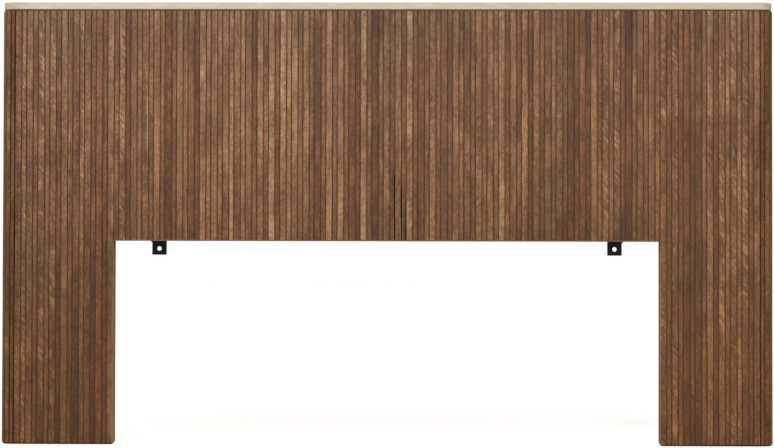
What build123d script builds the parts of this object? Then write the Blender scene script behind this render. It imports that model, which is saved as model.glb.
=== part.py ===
from build123d import *
import os
from math import asin, degrees, pi

# A headboard for a king-size bed. Its face is a run of upright timber slats, wide and narrow in
# turn, that carries on round both outer corners. Two legs stand on the floor, a pale cap lies over
# a shadow gap, and two steel brackets under the panel bolt to the bed.
# Lengths are in millimetres. X runs along the headboard and Z up. Y runs from the face, which
# looks towards -Y, to the back. Zero is on the floor, at the middle of the plan.

os.makedirs("parts", exist_ok=True)

# The whole headboard
overall_width = 2080.0
overall_height = 1190.0
leg_width = 305.0  # from the outer side of a leg to its inner face
underside_height = 547.0  # from the floor to the panel between the legs
corner_radius = 38.0  # the outer front corners in plan, at the faces of the slats

# The layers, from the face to the back
slat_thick = 8.0
backing_thick = 6.0
frame_thick = 31.0
back_thick = 6.0

# The slats
wide_slat = 15.0
narrow_slat = 10.0
groove = 3.0  # each run of slats fits its grooves to this as nearly as it can
slat_arris = 0.8
leg_edge_radius = 3.0  # the slat at the inner corner of each leg
side_setback = 1.5  # from the last slat of each side to the back face
half_groove_share = 0.5  # the part of a groove that a run has at a corner's tangent line

# The top
cap_thick = 19.0
cap_setback = 2.0
cap_arris = 1.5
shadow_gap = 4.0
spacer_setback = 3.0  # from the faces of the slats to the spacer that fills the gap
cap_tenon_length = 50.0
cap_tenon_thick = 8.0
cap_tenon_bite = 11.0  # how deep a loose tenon goes into the cap and into the top rail
cap_tenon_count = 6

# The floor end
base_thick = 4.0
base_setback = 3.0
base_arris = 0.8

# The frame inside
post_width = 44.0
top_rail_height = 40.0
bottom_rail_height = 90.0
leg_rail_height = 60.0
stud_width = 38.0
stud_count = 5
tenon_thick = 10.0
tenon_shoulder = 6.0
mortise_web = 8.0  # the wood left between two tenons that meet in a post
tenon_clearance = 0.2

# The boards that close the legs and the underside
facing_thick = 6.0
lipping_thick = 3.0
lipping_arris = 0.5

# The brackets
bolt_inset = 119.0  # from the inner face of a leg to the middle of a bolt hole
bolt_radius = 6.0
bolt_drop = 20.5  # from the underside of the panel to the middle of a bolt hole
bracket_thick = 4.0
bracket_rise = 78.0
bracket_radius = 2.0
bracket_clearance = 1.0
tab_width = 39.0
tab_drop = 37.5
shoulder_width = 30.0  # how much wider the plate is above its tab, on the outer side
shoulder_drop = 4.5  # where the shoulder starts, below the underside
screw_margin = 14.0
screw_radius = 2.9
screw_length = 22.0
screw_head_radius = 5.5
screw_head_height = 1.8
screw_clearance = 0.1
overrun = 1.0  # how far a cutting shape runs past the face that it opens

centre_groups = 12
leg_groups = 3

# Places that follow from the sizes
half_width = overall_width / 2
depth = slat_thick + backing_thick + frame_thick + back_thick
face_y = -depth / 2
back_y = depth / 2
slat_back_y = face_y + slat_thick
frame_front_y = slat_back_y + backing_thick
frame_back_y = frame_front_y + frame_thick
frame_mid_y = (frame_front_y + frame_back_y) / 2
cap_base_z = overall_height - cap_thick
slat_top_z = cap_base_z - shadow_gap
lipping_top_z = underside_height + lipping_thick
rail_low_z = slat_top_z - top_rail_height
bottom_rail_top_z = lipping_top_z + bottom_rail_height
leg_rail_top_z = base_thick + leg_rail_height
leg_inner_x = half_width - leg_width
facing_x = leg_inner_x + facing_thick
side_back_x = half_width - slat_thick
corner_post_x = side_back_x - post_width
inner_post_x = facing_x + post_width
tenon_length = (post_width - mortise_web) / 2
top_rail_span = (rail_low_z, slat_top_z)
middle_rail_span = (lipping_top_z, bottom_rail_top_z)
leg_rail_span = (base_thick, leg_rail_top_z)
plate_back_y = frame_back_y + bracket_thick
plate_top_z = underside_height + bracket_rise
shoulder_z = underside_height - shoulder_drop
bolt_x = leg_inner_x - bolt_inset
tab_inner_x = bolt_x - tab_width / 2
tab_outer_x = bolt_x + tab_width / 2
plate_outer_x = tab_outer_x + shoulder_width


def block(x0, x1, y0, y1, z0, z1):
    """A straight block between three pairs of planes."""
    box = Box(x1 - x0, y1 - y0, z1 - z0, align=(Align.MIN, Align.MIN, Align.MIN))
    return Pos(x0, y0, z0) * box


def rod(place, radius, length):
    """A round rod that starts at a place and runs along its +Z."""
    return place * Cylinder(radius, length, align=(Align.CENTER, Align.CENTER, Align.MIN))


def other_side(shape):
    """The same piece on the left of the headboard."""
    return mirror(shape, about=Plane.YZ)


def both_sides(shapes):
    """Shapes on the right, and their mirror images on the left."""
    right = list(shapes)
    return right + [other_side(shape) for shape in right]


def without(solid, cutters):
    """A solid with every cutter taken out of it."""
    for cutter in cutters:
        solid = solid - cutter
    return solid


def front_uprights(shape):
    """The upright edges furthest to the front, in order along X."""
    return shape.edges().filter_by(Axis.Z).group_by(Axis.Y)[0].sort_by(Axis.X)


def rounded_front(shape, radius, ends):
    """Round the upright front edges of a piece at the given ends, counted along X."""
    edges = front_uprights(shape)
    return fillet([edges[end] for end in ends], radius)


def save(name, *solids):
    """Write one node. Pieces that are alike share it, each as a solid of its own."""
    shape = solids[0] if len(solids) == 1 else Compound(children=list(solids))
    export_step(shape, f"parts/{name}.step")


def save_pair(name, *solids):
    """Write the right-hand node and its mirror image on the left."""
    save(f"right_{name}", *solids)
    save(f"left_{name}", *[other_side(solid) for solid in solids])


def share_out(pieces, groups):
    """Split a row of pieces into groups of neighbours of nearly the same number."""
    cuts = [len(pieces) * index // groups for index in range(groups + 1)]
    return [pieces[low:high] for low, high in zip(cuts, cuts[1:])]


def spaced(low, high, count):
    """Evenly spaced places from low to high, both included."""
    return [low + (high - low) * index / (count - 1) for index in range(count)]


# The slats. A run is laid out along the face: wide and narrow slats in turn, with all grooves of
# the run alike. The grooves take up what the whole number of slats leaves over.


def lay_out(length, first, second, lead_share, tail_share, closes_alike):
    """Starts and widths along a run, and its groove, as (start, width) pairs and a length.

    lead_share and tail_share are the grooves, or parts of one, before the first slat and after
    the last. A run that closes alike has the same width of slat at both ends.
    """
    single = first if closes_alike else 0
    spare_grooves = lead_share + tail_share - (0 if closes_alike else 1)
    pair = first + second + 2 * groove
    pairs = round((length - single - spare_grooves * groove) / pair)
    widths = [first, second] * pairs + ([first] if closes_alike else [])
    fitted = (length - sum(widths)) / (len(widths) - 1 + lead_share + tail_share)
    starts = [lead_share * fitted + sum(widths[:index]) + index * fitted for index in range(len(widths))]
    return list(zip(starts, widths)), fitted


def straight_slat(x0, width, z0):
    """A slat of the flat face, with its two front edges eased."""
    slat = block(x0, x0 + width, face_y, slat_back_y, z0, slat_top_z)
    return chamfer(front_uprights(slat), slat_arris)


def leg_edge_slat(x0, width):
    """The slat at the inner corner of a leg, with that edge round."""
    slat = block(x0, x0 + width, face_y, slat_back_y, base_thick, slat_top_z)
    slat = fillet(front_uprights(slat)[0], leg_edge_radius)
    return chamfer(front_uprights(slat)[-1], slat_arris)


def corner_slat(start, width, gap):
    """A slat of the round corner: a stave with a curved face between two grooves.

    start and width are lengths along the face, counted from where the curve begins at the front.
    The walls of a groove are parallel, so a stave is narrower at its back than at its face.
    """
    centre = (half_width - corner_radius, face_y + corner_radius)
    inner_radius = corner_radius - slat_thick
    half_gap = gap / 2
    groove_turn = half_gap / corner_radius
    back_turn = asin(half_gap / inner_radius)
    first_line = (start - half_gap) / corner_radius
    last_line = (start + width + half_gap) / corner_radius
    front_turn = pi / 2

    def arc(radius, turn):
        low, high = first_line + turn, last_line - turn
        return CenterArc(centre, radius, degrees(low - front_turn), degrees(high - low))

    outer, inner = arc(corner_radius, groove_turn), arc(inner_radius, back_turn)
    profile = make_face([outer, Line(outer @ 1, inner @ 1), inner, Line(inner @ 0, outer @ 0)])
    arrises = profile.vertices().sort_by_distance(Vertex(*centre, 0))[-2:]
    profile = chamfer(arrises, slat_arris)
    return Pos(0, 0, base_thick) * extrude(profile, slat_top_z - base_thick)


def side_slat():
    """The last slat of each side, ripped to the width that the corner leaves."""
    low = face_y + corner_radius + half_groove_share * groove
    slat = block(side_back_x, half_width, low, back_y - side_setback, base_thick, slat_top_z)
    return chamfer(slat.edges().filter_by(Axis.Z).group_by(Axis.X)[-1], slat_arris)


centre_run, centre_groove = lay_out(2 * leg_inner_x, narrow_slat, wide_slat, 1, 1, True)
centre_slats = [straight_slat(start - leg_inner_x, width, lipping_top_z) for start, width in centre_run]
for number, group in enumerate(share_out(centre_slats, centre_groups), 1):
    save(f"centre_slats_{number:02d}", *group)

leg_flat = leg_width - corner_radius
leg_run, leg_groove = lay_out(leg_flat, wide_slat, narrow_slat, 0, half_groove_share, True)
leg_slats = [leg_edge_slat(leg_inner_x, wide_slat)]
leg_slats += [straight_slat(leg_inner_x + start, width, base_thick) for start, width in leg_run[1:]]
for number, group in enumerate(share_out(leg_slats, leg_groups), 1):
    save_pair(f"leg_slats_{number}", *group)

corner_length = pi / 2 * corner_radius
corner_run, corner_groove = lay_out(
    corner_length, narrow_slat, wide_slat, half_groove_share, half_groove_share, False
)
corner_slats = [corner_slat(start, width, corner_groove) for start, width in corner_run]
save_pair("corner_slats", *corner_slats)
save_pair("side_slat", side_slat())

total = len(centre_slats) + 2 * (len(leg_slats) + len(corner_slats) + 1)
print(f"{total} slats; grooves {leg_groove:.2f} on a leg, {centre_groove:.2f} in the middle, "
      f"{corner_groove:.2f} round a corner")


# Fixings. The same function gives a fixing and, grown by a clearance, the hole that it fills.


def bracket_shank(x, z, grow=0):
    """The shank of a bracket screw. It starts at the back of the plate and points to the face."""
    return rod(Pos(x, plate_back_y, z) * Rot(X=90), screw_radius + grow, screw_length + grow)


def bracket_screw(x, z):
    """A screw with a low round head, which lies on the back of the plate."""
    head = rod(Pos(x, plate_back_y, z) * Rot(X=-90), screw_head_radius, screw_head_height)
    return head + bracket_shank(x, z)


def cap_tenon(x, grow=0):
    """A loose tenon that stands in the top rail and passes the spacer into the cap."""
    long, thick = cap_tenon_length / 2 + grow, cap_tenon_thick / 2 + grow
    low, high = slat_top_z - cap_tenon_bite - grow, cap_base_z + cap_tenon_bite + grow
    return block(x - long, x + long, frame_mid_y - thick, frame_mid_y + thick, low, high)


screw_places = [
    (x, z)
    for x in (tab_inner_x + screw_margin, plate_outer_x - screw_margin)
    for z in (lipping_top_z + screw_margin, plate_top_z - screw_margin)
]
screw_holes = [bracket_shank(x, z, screw_clearance) for x, z in screw_places]

cap_tenon_reach = corner_post_x - cap_tenon_length
cap_tenon_centres = spaced(-cap_tenon_reach, cap_tenon_reach, cap_tenon_count)
cap_mortises = [cap_tenon(x, tenon_clearance) for x in cap_tenon_centres]


# The frame inside. Rails and studs meet the posts in mortise and tenon joints. A mortise is the
# tenon grown by its clearance, cut from the piece that takes it.


def side_tenon(x, direction, z0, z1, grow=0):
    """A tenon on the end of a rail, at x and pointing along X in the given direction."""
    tip = x + direction * (tenon_length + grow)
    half = tenon_thick / 2 + grow
    low, high = z0 + tenon_shoulder - grow, z1 - tenon_shoulder + grow
    return block(min(x, tip), max(x, tip), frame_mid_y - half, frame_mid_y + half, low, high)


def end_tenon(x0, x1, z, direction, grow=0):
    """A tenon on the end of an upright, at z and pointing along Z in the given direction."""
    tip = z + direction * (tenon_length + grow)
    half = tenon_thick / 2 + grow
    low, high = x0 + tenon_shoulder - grow, x1 - tenon_shoulder + grow
    return block(low, high, frame_mid_y - half, frame_mid_y + half, min(z, tip), max(z, tip))


def frame_block(x0, x1, z0, z1):
    """A piece of the frame, as thick as the frame is."""
    return block(x0, x1, frame_front_y, frame_back_y, z0, z1)


def rail(x0, x1, z0, z1, holes=()):
    """A rail with a tenon at each end, and its mortises and screw holes."""
    body = frame_block(x0, x1, z0, z1) + side_tenon(x0, -1, z0, z1) + side_tenon(x1, 1, z0, z1)
    return without(body, holes)


def corner_post():
    """The outer post of a leg. Its front corner is round, and the curved staves lie on it."""
    post = block(corner_post_x, side_back_x, slat_back_y, frame_back_y, base_thick, slat_top_z)
    post = rounded_front(post, corner_radius - slat_thick, [-1])
    spans = (top_rail_span, leg_rail_span, middle_rail_span)
    return without(post, [side_tenon(corner_post_x, 1, z0, z1, tenon_clearance) for z0, z1 in spans])


def inner_post():
    """The inner post of a leg, between the rails of the leg and the bottom rail of the panel."""
    post = frame_block(facing_x, inner_post_x, base_thick, rail_low_z)
    post = post + end_tenon(facing_x, inner_post_x, rail_low_z, 1)
    mortises = [
        side_tenon(inner_post_x, -1, *leg_rail_span, tenon_clearance),
        side_tenon(inner_post_x, -1, *middle_rail_span, tenon_clearance),
        side_tenon(facing_x, 1, *middle_rail_span, tenon_clearance),
    ]
    return without(post, mortises)


def stud(x):
    """An upright of the panel, between its bottom rail and the top rail."""
    x0, x1 = x - stud_width / 2, x + stud_width / 2
    body = frame_block(x0, x1, bottom_rail_top_z, rail_low_z)
    return body + end_tenon(x0, x1, bottom_rail_top_z, -1) + end_tenon(x0, x1, rail_low_z, 1)


stud_reach = facing_x - stud_width / 2
stud_centres = spaced(-stud_reach, stud_reach, stud_count)
upright_ends = [(x - stud_width / 2, x + stud_width / 2) for x in stud_centres]
post_ends = [(facing_x, inner_post_x), (-inner_post_x, -facing_x)]
top_mortises = [end_tenon(x0, x1, rail_low_z, 1, tenon_clearance) for x0, x1 in upright_ends + post_ends]
bottom_mortises = [end_tenon(x0, x1, bottom_rail_top_z, -1, tenon_clearance) for x0, x1 in upright_ends]
top_holes = top_mortises + cap_mortises
bottom_holes = bottom_mortises + both_sides(screw_holes)

save("top_rail", rail(-corner_post_x, corner_post_x, *top_rail_span, top_holes))
save("bottom_rail", rail(-facing_x, facing_x, *middle_rail_span, bottom_holes))
save_pair("leg_bottom_rail", rail(inner_post_x, corner_post_x, *leg_rail_span))
save_pair("leg_middle_rail", rail(inner_post_x, corner_post_x, *middle_rail_span))
save_pair("corner_post", corner_post())
save_pair("inner_post", inner_post())
for number, x in enumerate(stud_centres, 1):
    save(f"stud_{number}", stud(x))


# The boards. The backing boards carry the slats, and the facings close the inner sides of the
# legs. The lipping closes the underside of the panel, with its front edge flush with the slats.

save_pair(
    "leg_backing",
    block(facing_x, corner_post_x, slat_back_y, frame_front_y, base_thick, slat_top_z),
)
save(
    "centre_backing",
    block(-facing_x, facing_x, slat_back_y, frame_front_y, lipping_top_z, slat_top_z),
)
save_pair(
    "leg_facing",
    block(leg_inner_x, facing_x, slat_back_y, frame_back_y, base_thick, lipping_top_z),
)
lipping = block(-leg_inner_x, leg_inner_x, face_y, frame_back_y, underside_height, lipping_top_z)
lipping_front = lipping.edges().filter_by(Axis.X).group_by(Axis.Y)[0]
save("underside_lipping", fillet(lipping_front, lipping_arris))


# The back panels. The middle one is cut out round the two brackets.

save_pair(
    "leg_back_panel",
    block(leg_inner_x, side_back_x, frame_back_y, back_y, base_thick, slat_top_z),
)
bracket_notch = block(
    tab_inner_x - bracket_clearance,
    plate_outer_x + bracket_clearance,
    frame_back_y - overrun,
    back_y + overrun,
    underside_height - overrun,
    plate_top_z + bracket_clearance,
)
centre_panel = block(-leg_inner_x, leg_inner_x, frame_back_y, back_y, underside_height, slat_top_z)
save("centre_back_panel", without(centre_panel, both_sides([bracket_notch])))


# The brackets. A plate is screwed to the back of the bottom rail, and its tab hangs below the
# panel with the hole for a bed bolt. A slanting shoulder joins the plate to the tab.


def bracket():
    """The right-hand bracket, drawn as seen from the front and given its thickness."""
    outline = Polyline(
        (tab_inner_x, plate_top_z),
        (tab_inner_x, underside_height - tab_drop),
        (tab_outer_x, underside_height - tab_drop),
        (tab_outer_x, shoulder_z),
        (plate_outer_x, shoulder_z + shoulder_width),
        (plate_outer_x, plate_top_z),
        close=True,
    )
    profile = make_face(outline)
    levels = profile.vertices().group_by(Axis.Y)
    profile = fillet(levels[0] + levels[-1], bracket_radius)
    profile = profile - Pos(bolt_x, underside_height - bolt_drop) * Circle(bolt_radius)
    plate = Pos(0, frame_back_y, 0) * extrude(Plane.XZ * profile, -bracket_thick)
    return without(plate, screw_holes)


save_pair("bracket", bracket())
save("bracket_screws", *both_sides(bracket_screw(x, z) for x, z in screw_places))


# The floor end. A black plate under each leg is set back from the slats on every side.

base = block(
    leg_inner_x + base_setback,
    half_width - base_setback,
    face_y + base_setback,
    back_y - base_setback,
    0,
    base_thick,
)
base = rounded_front(base, corner_radius - base_setback, [-1])
save_pair("base_plate", chamfer(base.edges().group_by(Axis.Z)[0], base_arris))


# The top. A dark spacer, set back from the faces of the slats, lies on their ends and holds the cap
# off them, which makes the shadow gap. Loose tenons hold the cap.

spacer_half = half_width - spacer_setback
spacer = block(
    -spacer_half, spacer_half, face_y + spacer_setback, frame_back_y, slat_top_z, cap_base_z
)
spacer = rounded_front(spacer, corner_radius - spacer_setback, [0, -1])
save("gap_spacer", without(spacer, cap_mortises))

cap_half = half_width - cap_setback
cap = block(-cap_half, cap_half, face_y + cap_setback, back_y - cap_setback, cap_base_z, overall_height)
cap = rounded_front(cap, corner_radius - cap_setback, [0, -1])
cap = chamfer(cap.edges().group_by(Axis.Z)[0] + cap.edges().group_by(Axis.Z)[-1], cap_arris)
save("top_cap", without(cap, cap_mortises))
save("cap_tenons", *[cap_tenon(x) for x in cap_tenon_centres])
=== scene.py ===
# %% [markdown]
# A slatted headboard, dressed for its picture
#
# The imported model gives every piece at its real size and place. This script puts the
# looks round it: slats of reclaimed timber, a pale washed cap, black steel brackets.
# Everything is in metres. X runs along the headboard, Y from its face to its back, Z up.

import math

import bpy
import numpy as np
from mathutils import Matrix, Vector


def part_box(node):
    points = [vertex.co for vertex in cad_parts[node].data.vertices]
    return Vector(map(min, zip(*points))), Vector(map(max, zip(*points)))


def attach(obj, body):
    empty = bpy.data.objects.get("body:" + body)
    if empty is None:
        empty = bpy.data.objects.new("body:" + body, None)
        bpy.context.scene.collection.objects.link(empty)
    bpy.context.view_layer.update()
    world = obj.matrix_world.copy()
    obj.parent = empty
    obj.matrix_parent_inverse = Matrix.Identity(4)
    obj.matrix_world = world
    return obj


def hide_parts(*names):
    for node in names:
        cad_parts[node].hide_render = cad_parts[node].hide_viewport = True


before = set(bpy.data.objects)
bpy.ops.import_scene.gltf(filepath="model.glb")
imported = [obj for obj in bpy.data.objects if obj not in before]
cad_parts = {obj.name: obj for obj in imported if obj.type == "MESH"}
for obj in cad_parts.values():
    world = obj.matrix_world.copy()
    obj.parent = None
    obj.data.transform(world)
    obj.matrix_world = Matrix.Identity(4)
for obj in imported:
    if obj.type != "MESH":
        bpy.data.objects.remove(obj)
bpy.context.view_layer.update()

# %% [markdown]
# The sizes come first. The loaded nodes already hold them, so they are read from the
# nodes' boxes, and only what a box can't tell is written down as a number.

# %% Sizes read from the frame
MM = 0.001


def span(node, axis):
    """The lowest and highest place of a node along an axis: 0 is X, 1 is Y, 2 is Z."""
    low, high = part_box(node)
    return low[axis], high[axis]


half_width = span("right_side_slat", 0)[1]
face_y, slat_back_y = span("centre_slats_01", 1)
centre_base_z, slat_top_z = span("centre_slats_01", 2)
leg_base_z = span("right_side_slat", 2)[0]
leg_inner_x = span("right_leg_slats_1", 0)[0]
side_low_y, side_high_y = span("right_side_slat", 1)
slat_thick = slat_back_y - face_y
corner_radius = 38 * MM
wide, narrow, groove = 15 * MM, 10 * MM, 3 * MM
print(f"slats are {slat_thick / MM:.0f} mm thick, legs start {leg_inner_x:.3f} m out")

# %% [markdown]
# A mesh is only a list of corners and a list of faces. One helper turns arrays into an
# object, and gives its corners whatever values the materials will want to read. Slats,
# boards and screws are all tubes of closed rings, so one helper lists their faces.

# %% A helper that makes an object from arrays


def make_piece(name, corners, faces, finishes, values=None, face_finish=None):
    """An object from an array of corners and lists of corner numbers.

    values holds three numbers for each corner, by name, and face_finish a finish's number
    for each face.
    """
    mesh = bpy.data.meshes.new(name)
    mesh.from_pydata(corners.reshape(-1, 3), [], faces)
    for finish in finishes:
        mesh.materials.append(finish)
    for key, rows in (values or {}).items():
        layer = mesh.attributes.new(key, "FLOAT_VECTOR", "POINT")
        layer.data.foreach_set("vector", np.ascontiguousarray(rows, np.float32).ravel())
    if face_finish is not None:
        mesh.polygons.foreach_set("material_index", np.asarray(face_finish, np.int32))
    mesh.validate()
    piece = bpy.data.objects.new(name, mesh)
    bpy.context.scene.collection.objects.link(piece)
    return piece


def soften(piece, angle=40):
    """Smooth shading across edges that turn by less than an angle in degrees."""
    piece.data.shade_smooth()
    piece.data.set_sharp_from_angle(angle=math.radians(angle))


def settle(piece, slot_name, *nodes):
    """The piece rides on the headboard and stands for nodes, which are hidden. slot_name is not
    used.
    """
    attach(piece, "root")
    if nodes:
        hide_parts(*nodes)
    print(f"{piece.name} made, with {len(piece.data.polygons)} faces")


def refinish(node, finish):
    """A new finish for a node of the frame, whose shape stays."""
    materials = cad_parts[node].data.materials
    materials.clear()
    materials.append(finish)


print("helpers: make_piece, soften, settle and refinish")

# %% The faces of tubes


def tube_faces(tubes, points, levels, flipped=False):
    """Each tube's sides, then its two ends. Point k of level n has the number k + points * n.

    A side joins points k and k + 1 of one level to the same two of the next. flipped turns
    every face round, for rings that run the other way.
    """
    ring = np.arange(points)
    lower = ring[None, :] + points * np.arange(levels - 1)[:, None]
    after = np.roll(ring, -1)[None, :] + points * np.arange(levels - 1)[:, None]
    sides = np.stack([lower, after, after + points, lower + points], axis=-1).reshape(-1, 4)
    ends = [ring[::-1], ring + points * (levels - 1)]
    if flipped:
        sides, ends = sides[:, ::-1], [end[::-1] for end in ends]
    faces = []
    for tube in range(tubes):
        base = tube * points * levels
        faces += (sides + base).tolist() + [(end + base).tolist() for end in ends]
    return faces


print("a square tube of two levels has", len(tube_faces(1, 4, 2)), "faces")

# %% [markdown]
# Shader maths reads best as plain sums. Output wraps one output of a shader node, so
# that a + b or 1 - mask adds a Math node. Recipe is a node tree in the making: its one
# method, node, makes any node from its type, its settings and its inputs. Finish is the
# recipe of a material.

# %% Sums of shader outputs


class Output:
    """One output of a shader node. Arithmetic on it adds Math nodes to its recipe."""

    def __init__(self, recipe, socket):
        self.recipe, self.socket = recipe, socket

    def maths(self, operation, *terms):
        return self.recipe.node("ShaderNodeMath", {"operation": operation}, dict(enumerate(terms)))

    def within(self, low, high):
        """0 where the value is at low or less, 1 at high or more, and a smooth rise between."""
        settings = {"interpolation_type": "SMOOTHSTEP"}
        return self.recipe.node("ShaderNodeMapRange", settings, {0: self, 1: low, 2: high})

    def between(self, rise, fall):
        """1 from a rise to a fall, each a pair of values, and 0 outside them."""
        return self.within(*rise) - self.within(*fall)


# Python reads a + b as a.__add__(b), and 1 - a as a.__rsub__(1).
SUMS = {"add": "ADD", "sub": "SUBTRACT", "mul": "MULTIPLY", "pow": "POWER"}
for word, operation in SUMS.items():
    setattr(Output, f"__{word}__", lambda a, b, how=operation: a.maths(how, a, b))
    setattr(Output, f"__r{word}__", lambda a, b, how=operation: a.maths(how, b, a))
print("shader outputs can", ", ".join(SUMS))

# %% Recipes and finishes


def paint(red, green, blue):
    """A colour given as on a paint chart, 0 to 255, turned into the linear light it reflects."""
    chart = np.array([red, green, blue]) / 255
    light = np.where(chart <= 0.04045, chart / 12.92, ((chart + 0.055) / 1.055) ** 2.4)
    return (*light, 1.0)


class Recipe:
    """The node tree of a material or a world, with short calls for the nodes used here."""

    def __init__(self, owner):
        owner.use_nodes = True
        self.tree = owner.node_tree
        self.tree.nodes.clear()

    def node(self, kind, settings=None, inputs=None, output=0):
        """Any node. Settings go in first, then each input's value or link."""
        made = self.tree.nodes.new(kind)
        for key, value in (settings or {}).items():
            if key == "stops":
                ramp = made.color_ramp
                while len(ramp.elements) < len(value):
                    ramp.elements.new(0.5)
                for element, (place, colour) in zip(ramp.elements, value):
                    element.position, element.color = place, colour
            else:
                setattr(made, key, value)
        for key, value in (inputs or {}).items():
            if isinstance(value, Output):
                self.tree.links.new(value.socket, made.inputs[key])
            else:
                made.inputs[key].default_value = value
        return Output(self, made.outputs[output]) if len(made.outputs) else None

    def seen_directly(self):
        """1 for rays that show the thing itself, in a mirror or through glass too, and else 0."""
        rays = self.node("ShaderNodeLightPath").socket.node.outputs
        camera, glossy, clear = [
            Output(self, rays[f"Is {kind} Ray"]) for kind in ("Camera", "Glossy", "Transmission")
        ]
        return camera.maths("MAXIMUM", camera.maths("MAXIMUM", camera, glossy), clear)

    def value_of(self, name):
        """The three numbers of a corner value of the piece."""
        vector = self.node("ShaderNodeAttribute", {"attribute_name": name}, output="Vector")
        return self.parts(vector)

    def parts(self, vector):
        split = self.node("ShaderNodeSeparateXYZ", inputs={0: vector}).socket.node
        return [Output(self, socket) for socket in split.outputs]

    def place(self):
        """X, Y and Z of the point, in metres."""
        return self.parts(self.node("ShaderNodeTexCoord", output="Object"))

    def noise(self, x, y, z, detail=2.0, roughness=0.5, scale=1.0):
        """Soft noise round 0.5, with blotches about 1 / scale wide in x, y and z."""
        place = self.node("ShaderNodeCombineXYZ", inputs={0: x, 1: y, 2: z})
        inputs = {"Vector": place, "Scale": scale, "Detail": detail, "Roughness": roughness}
        return self.node("ShaderNodeTexNoise", inputs=inputs)

    def ramp(self, value, *stops):
        return self.node("ShaderNodeValToRGB", {"stops": stops}, {0: value})

    def mix(self, mask, first, second, blend="MIX"):
        """The first colour where the mask is 0 and the second where it is 1.

        With the blend MULTIPLY the second is a tint, which multiplies the first.
        """
        settings = {"data_type": "RGBA", "blend_type": blend}
        return self.node("ShaderNodeMix", settings, {0: mask, 6: first, 7: second}, output=2)


class Finish(Recipe):
    """The recipe of a material."""

    def __init__(self, name):
        self.material = bpy.data.materials.new(name)
        super().__init__(self.material)

    def surface(self, colour, rough, sheen=0.5, height=None, deep=0.0, strength=0.5, **others):
        """The shader and the material's output. Returns the finished material.

        A height of 1 stands out by deep, in metres, and the shading leans with it. others
        are more inputs of the shader, by name.
        """
        inputs = {"Base Color": colour, "Roughness": rough, "Specular IOR Level": sheen}
        if height is not None:
            inputs["Normal"] = self.node("ShaderNodeBump", inputs={
                "Height": height, "Distance": deep, "Strength": strength})
        inputs.update({key.replace("_", " "): value for key, value in others.items()})
        shader = self.node("ShaderNodeBsdfPrincipled", inputs=inputs)
        self.node("ShaderNodeOutputMaterial", inputs={0: shader})
        print(f"{self.material.name} made, with {len(self.tree.nodes)} shader nodes")
        return self.material


print(f"half way up the paint chart reflects {paint(128, 128, 128)[0]:.0%} of the light")

# %% [markdown]
# The slats are reclaimed hardwood: every one comes from another board, so tones jump
# from slat to slat. A picture of timber could be wrapped round them, but worked-out
# timber has no seams and no edges. Each slat carries numbers on its corners: where it
# lies in its own board, how pale, red or rippled it is, and which corners are arrises
# or sawn walls. One recipe reads them all.

# %% Colours of the slats
DARK_HEART = paint(76, 50, 34)
BROWN = paint(104, 72, 47)
MID_BROWN = paint(132, 94, 65)
TAN = paint(161, 122, 88)
STRAW = paint(194, 157, 117)
TIMBER_TONES = ((0.0, DARK_HEART), (0.25, BROWN), (0.5, MID_BROWN), (0.75, TAN), (1.0, STRAW))
DUST = paint(186, 166, 142)
SAPWOOD = paint(184, 154, 116)
GROOVE_WALL = paint(166, 132, 94)
# Painted shade for the rims and groove walls of the staves round the corners.
CORNER_SHADE = paint(70, 46, 32)
# Tints multiply a colour, and white leaves it as it is.
WHITE = paint(255, 255, 255)
RUSSET = paint(255, 233, 220)
MAUVE = paint(243, 246, 250)
OCHRE = paint(255, 248, 235)
print(len(TIMBER_TONES), "tones of timber, from dark heart to straw")

# %% [markdown]
# The figure of timber is noise, and most of it is stretched along the grain: broad
# clouds and patches, long streaks, short pores, and flecks that lean where the grain
# ripples. Each is worked out in the slat's own board, so it never runs on from slat to
# slat.

# %% The figure of the timber
FLECKS_ALONG, FLECKS_LEAN = 120, 90


class SlatTimber(Finish):
    """A finish that knows the values on the slats' corners, and the figure made from them.

    across, line and along are the place in the board, in metres, and each slat has its own
    line. tone, red and ripple say how pale, red and rippled it is. arris is 1 on an eased
    edge, and wall is 1 on a sawn wall and 2 on one darkened by painted shade. share runs
    from 0 to 1 across the slat. sap is its side with sapwood, knot is 1 if it has knots,
    and slant is how far its figure leans.
    """

    def __init__(self, name):
        super().__init__(name)
        self.across, self.line, self.along = self.value_of("grain")
        self.tone, self.red, self.ripple = self.value_of("board")
        self.arris, self.wall, self.share = self.value_of("edge")
        self.sap, self.knot, self.slant = self.value_of("marks")
        self.x, _, self.z = self.place()
        self.patches = self.figure(40, 13, detail=2.5, roughness=0.6)
        self.clouds = self.figure(14, 3.1, shift=7.3, detail=1.0)
        self.streaks = self.figure(330, 6, detail=3.0)
        self.pores = self.figure(1500, 55)
        self.fine = self.figure(260, 260, shift=4.4, detail=1.0)
        self.flecks = self.leaning_figure(75, shift=2.6, detail=2.0)
        where = self.figure(30, 8, shift=3.1).within(0.4, 0.58)
        blobs = self.leaning_figure(60, shift=5.7, detail=1.0).within(0.46, 0.64)
        self.rippled = self.ripple * where * blobs

    def figure(self, often_across, often_along, shift=0.0, detail=2.0, roughness=0.5):
        """Noise, by how often it repeats in a metre across and along the grain."""
        return self.noise(self.across * often_across, self.line + shift,
                          self.along * often_along, detail, roughness)

    def leaning_figure(self, often_across, shift, detail):
        """Noise that leans over the slat: along grows with across times the slant."""
        along = self.along * FLECKS_ALONG + self.across * self.slant * FLECKS_LEAN
        return self.noise(self.across * often_across, self.line + shift, along, detail)


print("flecks repeat", FLECKS_ALONG, "times in a metre along the grain")

# %% [markdown]
# The tone of the board and its figure add up to one level, which is read from a row of
# real timber tones. Then come red, cool and golden tints, and what years of use leave:
# strips of sapwood, dust in the figure, small dark knots.

# %% The colour of a board
# Eased arrises are made paler, as a painted highlight.
RIPPLE_RISE, RIPPLE_GROUND, ARRIS_HIGHLIGHT, LEFT_RISE = 0.42, 0.07, 0.03, 0.04
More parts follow.
